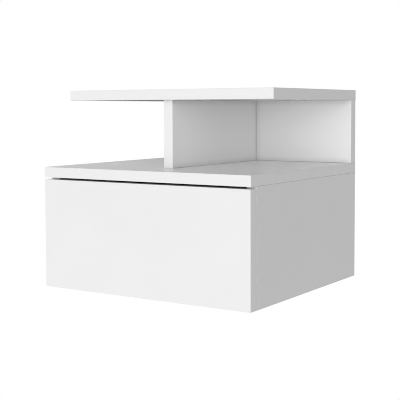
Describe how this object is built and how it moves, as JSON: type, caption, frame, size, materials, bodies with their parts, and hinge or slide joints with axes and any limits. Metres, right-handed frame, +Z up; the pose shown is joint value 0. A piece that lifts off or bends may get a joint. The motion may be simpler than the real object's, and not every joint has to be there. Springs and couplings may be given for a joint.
{
  "type": "floating nightstand",
  "caption": "Wall-hung nightstand with one handleless drawer, an open shelf above it on an off-wall divider, and a half-width back.",
  "frame": {"origin": "on the wall plane, midway between the two hangers, at the height where the wall screws bear", "axes": "+Z up, +Y into the wall, -Y out of the drawer front, +X to the right as seen from the front"},
  "size_m": [0.35, 0.32, 0.288],
  "materials": {
    "white_melamine": "matt",
    "white_hardboard": "matt",
    "zinc": "satin",
    "coated_steel": "satin",
    "nylon": "satin"
  },
  "bodies": {
    "cabinet": {"cabinet_bottom": "white_melamine", "cabinet_top": "white_melamine", "cam_bolt_bottom_left_back": "zinc", "cam_bolt_bottom_left_front": "zinc", "cam_bolt_bottom_right_back": "zinc", "cam_bolt_bottom_right_front": "zinc", "cam_bolt_rear_left": "zinc", "cam_bolt_rear_right": "zinc", "cam_bolt_shelf_back": "zinc", "cam_bolt_shelf_divider": "zinc", "cam_bolt_top_left_back": "zinc", "cam_bolt_top_left_front": "zinc", "cam_bolt_top_right_back": "zinc", "cam_bolt_top_right_front": "zinc", "cam_bottom_left_back": "zinc", "cam_bottom_left_front": "zinc", "cam_bottom_right_back": "zinc", "cam_bottom_right_front": "zinc", "cam_rear_left": "zinc", "cam_rear_right": "zinc", "cam_shelf_back": "zinc", "cam_shelf_divider": "zinc", "cam_top_left_back": "zinc", "cam_top_left_front": "zinc", "cam_top_right_back": "zinc", "cam_top_right_front": "zinc", "divider": "white_melamine", "hanger_left": "zinc", "hanger_right": "zinc", "joiner_screw_back_left": "zinc", "joiner_screw_back_right": "zinc", "joiner_screw_divider_back": "zinc", "joiner_screw_divider_front": "zinc", "rear_panel": "white_melamine", "runner_cabinet_left": "coated_steel", "runner_cabinet_right": "coated_steel", "side_panel_left": "white_melamine", "side_panel_right": "white_melamine", "upper_back": "white_melamine", "upper_shelf": "white_melamine"},
    "drawer": {"box_screw_left_high": "zinc", "box_screw_left_low": "zinc", "box_screw_right_high": "zinc", "box_screw_right_low": "zinc", "cam_bolt_drawer_left": "zinc", "cam_bolt_drawer_right": "zinc", "cam_drawer_left": "zinc", "cam_drawer_right": "zinc", "drawer_back": "white_melamine", "drawer_bottom": "white_hardboard", "drawer_front": "white_melamine", "drawer_side_left": "white_melamine", "drawer_side_right": "white_melamine", "runner_drawer_left": "coated_steel", "runner_drawer_right": "coated_steel"},
    "wheel_front_left": {"wheel_front_left": "nylon"},
    "wheel_front_right": {"wheel_front_right": "nylon"},
    "wheel_rear_left": {"wheel_rear_left": "nylon"},
    "wheel_rear_right": {"wheel_rear_right": "nylon"}
  },
  "joints": [
    {"name": "drawer_slide", "type": "slide", "parent": "cabinet", "child": "drawer", "axis": [0, -1, 0], "range_m": [0, 0.19]},
    {"name": "wheel_front_left_spin", "type": "hinge", "parent": "cabinet", "child": "wheel_front_left", "pos_m": [-0.15475, -0.288, -0.0772], "axis": [1, 0, 0], "range_deg": [0, 1285]},
    {"name": "wheel_front_right_spin", "type": "hinge", "parent": "cabinet", "child": "wheel_front_right", "pos_m": [0.15475, -0.288, -0.0772], "axis": [1, 0, 0], "range_deg": [0, 1285]},
    {"name": "wheel_rear_left_spin", "type": "hinge", "parent": "drawer", "child": "wheel_rear_left", "pos_m": [-0.15355, -0.0688, -0.0772], "axis": [1, 0, 0], "range_deg": [0, 1285]},
    {"name": "wheel_rear_right_spin", "type": "hinge", "parent": "drawer", "child": "wheel_rear_right", "pos_m": [0.15355, -0.0688, -0.0772], "axis": [1, 0, 0], "range_deg": [0, 1285]}
  ],
  "couplings": [
    {"joint": "wheel_front_left_spin", "follows": "drawer_slide", "rad_per_m": 117.65},
    {"joint": "wheel_front_right_spin", "follows": "drawer_slide", "rad_per_m": 117.65},
    {"joint": "wheel_rear_left_spin", "follows": "drawer_slide", "rad_per_m": 117.65},
    {"joint": "wheel_rear_right_spin", "follows": "drawer_slide", "rad_per_m": 117.65}
  ]
}
